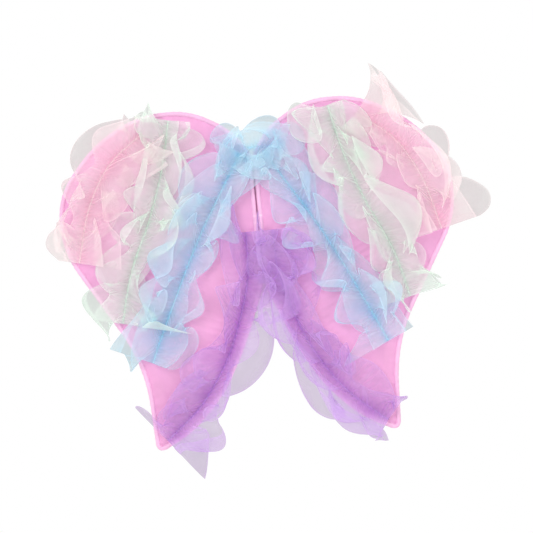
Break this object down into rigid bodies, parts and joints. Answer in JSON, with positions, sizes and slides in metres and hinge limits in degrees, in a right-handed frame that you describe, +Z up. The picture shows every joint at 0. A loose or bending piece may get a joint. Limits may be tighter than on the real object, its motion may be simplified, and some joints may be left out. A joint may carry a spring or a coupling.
{
  "type": "fairy wings",
  "caption": "Child's fairy wings: two wired fabric wings with gathered tulle rows, hinged like a book on a padded back piece with elastic shoulder loops.",
  "frame": {"origin": "centre of the back pad's face that lies on the wearer's back", "axes": "+Z up when worn, +Y towards the wearer, +X to the right as seen from the decorated side, which faces -Y"},
  "size_m": [0.4476, 0.1083, 0.3918],
  "materials": {
    "spring_wire": "bright drawn spring wire",
    "crimp_metal": "crimped sleeve",
    "edge_binding": "pale pink satin binding",
    "pink_panel": "fine ribbed pink polyester, soft sheen",
    "pink_tulle": "sheer pink net, gathered",
    "mint_tulle": "sheer mint net, gathered",
    "blue_tulle": "sheer sky-blue net, gathered",
    "purple_tulle": "sheer orchid net, gathered",
    "gathering_thread": "twisted polyester sewing thread",
    "loop_tape": "folded woven tape",
    "elastic": "flat braided elastic, ribbed along its length",
    "pad_fabric": "soft pink polyester",
    "foam": "closed-cell foam",
    "board": "stiff moulded board",
    "label_satin": "blank woven satin"
  },
  "bodies": {
    "back_pad": {"pad_back_cover": "pad_fabric", "pad_front_cover": "pad_fabric", "pad_binding": "edge_binding", "pad_foam": "foam", "pad_board": "board", "right_hinge_loops": "loop_tape", "left_hinge_loops": "loop_tape", "care_label": "label_satin"},
    "right_wing": {"right_wing_wire": "spring_wire", "right_wire_ferrule": "crimp_metal", "right_wing_casing": "edge_binding", "right_front_panel": "pink_panel", "right_back_panel": "pink_panel", "right_pink_ruffle": "pink_tulle", "right_mint_ruffle": "mint_tulle", "right_blue_ruffle": "blue_tulle", "right_purple_ruffle": "purple_tulle", "right_pink_thread": "gathering_thread", "right_mint_thread": "gathering_thread", "right_blue_thread": "gathering_thread", "right_purple_thread": "gathering_thread"},
    "left_wing": {"left_wing_wire": "spring_wire", "left_wire_ferrule": "crimp_metal", "left_wing_casing": "edge_binding", "left_front_panel": "pink_panel", "left_back_panel": "pink_panel", "left_pink_ruffle": "pink_tulle", "left_mint_ruffle": "mint_tulle", "left_blue_ruffle": "blue_tulle", "left_purple_ruffle": "purple_tulle", "left_pink_thread": "gathering_thread", "left_mint_thread": "gathering_thread", "left_blue_thread": "gathering_thread", "left_purple_thread": "gathering_thread"},
    "right_strap": {"right_shoulder_strap": "elastic"},
    "left_strap": {"left_shoulder_strap": "elastic"}
  },
  "joints": [
    {"name": "right_wing_fold", "type": "hinge", "parent": "back_pad", "child": "right_wing", "pos_m": [0.003, -0.0139, 0], "axis": [0, 0, -1], "range_deg": [0, 60]},
    {"name": "left_wing_fold", "type": "hinge", "parent": "back_pad", "child": "left_wing", "pos_m": [-0.003, -0.0139, 0], "axis": [0, 0, 1], "range_deg": [0, 60]},
    {"name": "right_strap_swing", "type": "hinge", "parent": "back_pad", "child": "right_strap", "pos_m": [0.014, -0.0053, 0], "axis": [0, 0, -1], "range_deg": [-30, 50]},
    {"name": "left_strap_swing", "type": "hinge", "parent": "back_pad", "child": "left_strap", "pos_m": [-0.014, -0.0053, 0], "axis": [0, 0, 1], "range_deg": [-30, 50]}
  ]
}
